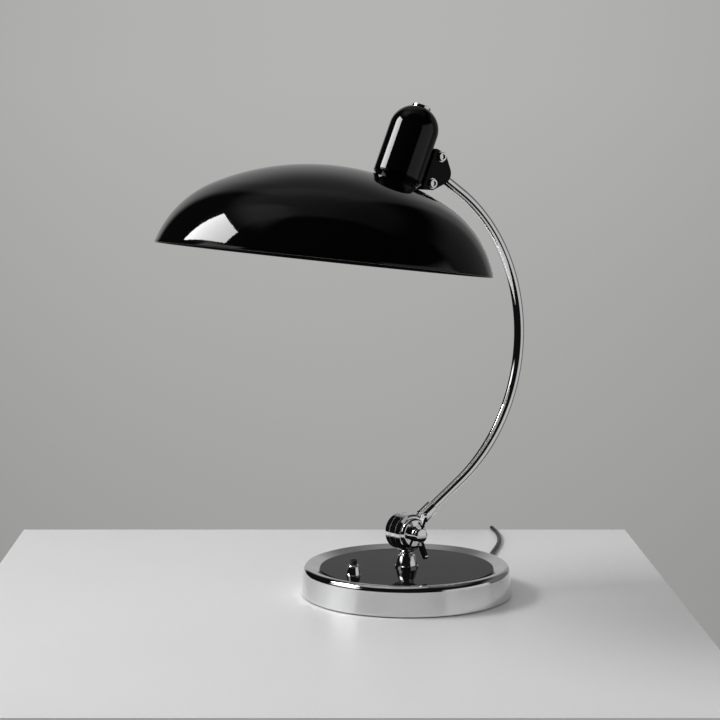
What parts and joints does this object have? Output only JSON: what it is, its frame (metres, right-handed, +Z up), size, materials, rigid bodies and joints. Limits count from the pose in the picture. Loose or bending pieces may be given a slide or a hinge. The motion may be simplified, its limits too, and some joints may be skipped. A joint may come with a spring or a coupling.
{
  "type": "desk lamp",
  "caption": "Desk lamp with a wide domed shade on a curved arm, a ball joint at the head, a wing-nut knuckle and a round weighted base with a push switch.",
  "frame": {"origin": "centre of the base, on the table surface", "axes": "+Z up; the arm lies in the XZ plane, bulging to +X, with the shade towards -X; the wing nut is on the -Y side"},
  "size_m": [0.4921, 0.4586, 0.4287],
  "materials": {
    "chrome": "polished",
    "black_lacquer": "gloss",
    "white_coat": "satin",
    "ballast": "rough cast",
    "steel": "satin",
    "felt": "matte",
    "black_plastic": "gloss",
    "phenolic": "satin",
    "washer": "satin",
    "brass": "satin",
    "bulb_cap": "satin",
    "bulb_glass": "frosted",
    "cord_jacket": "satin",
    "tie": "matte"
  },
  "bodies": {
    "base": {"base_shell": "chrome", "base_disc": "black_lacquer", "base_weight": "ballast", "base_cover": "steel", "base_felt": "felt", "cover_screw_1": "steel", "cover_screw_2": "steel", "cover_screw_3": "steel", "switch_collar": "chrome", "switch_body": "phenolic", "stem_post": "chrome", "stem_nut": "steel", "knuckle_fork": "chrome", "friction_washer_front": "washer", "friction_washer_back": "washer", "pivot_bolt": "chrome", "wing_washer": "chrome", "cable_gland": "black_plastic", "cord_lead": "cord_jacket", "cord_coil": "cord_jacket", "cord_tail": "cord_jacket", "cord_tie": "tie", "plug_body": "black_plastic", "plug_pin_1": "steel", "plug_pin_2": "steel"},
    "wing_nut": {"wing_nut": "chrome"},
    "button": {"switch_button": "black_plastic"},
    "arm": {"arm_eye": "chrome", "arm_sleeve": "chrome", "arm_tube": "chrome", "arm_ball": "chrome"},
    "ball_seat": {"ball_liner_front": "brass", "ball_liner_back": "brass"},
    "head": {"head_housing": "black_lacquer", "top_button": "chrome", "shade": "black_lacquer", "shade_lining": "white_coat", "head_collar": "black_lacquer", "shade_ring": "phenolic", "lampholder": "phenolic", "holder_contact": "brass", "bulb_cap": "bulb_cap", "bulb_glass": "bulb_glass", "housing_lug": "black_lacquer", "clamp_half_front": "black_lacquer", "clamp_half_back": "black_lacquer", "clamp_ring_upper": "chrome", "clamp_ring_lower": "chrome", "clamp_screw_upper": "chrome", "clamp_screw_lower": "chrome", "clamp_nut_upper": "steel", "clamp_nut_lower": "steel"}
  },
  "joints": [
    {"name": "arm_tilt", "type": "hinge", "parent": "base", "child": "arm", "pos_m": [0, 0, 0.0549], "axis": [0, 1, 0], "range_deg": [-30, 20]},
    {"name": "head_swivel", "type": "hinge", "parent": "arm", "child": "ball_seat", "pos_m": [0.0318, 0, 0.3682], "axis": [-0.8396, 0, 0.5433], "range_deg": [-45, 45]},
    {"name": "head_tilt", "type": "hinge", "parent": "ball_seat", "child": "head", "pos_m": [0.0318, 0, 0.3682], "axis": [0, 1, 0], "range_deg": [-25, 30]},
    {"name": "wing_nut_turn", "type": "hinge", "parent": "base", "child": "wing_nut", "pos_m": [0, -0.016, 0.0549], "axis": [0, -1, 0], "continuous": true},
    {"name": "switch_press", "type": "slide", "parent": "base", "child": "button", "axis": [0, 0, -1], "range_m": [0, 0.002], "stiffness_N_per_m": 400}
  ]
}
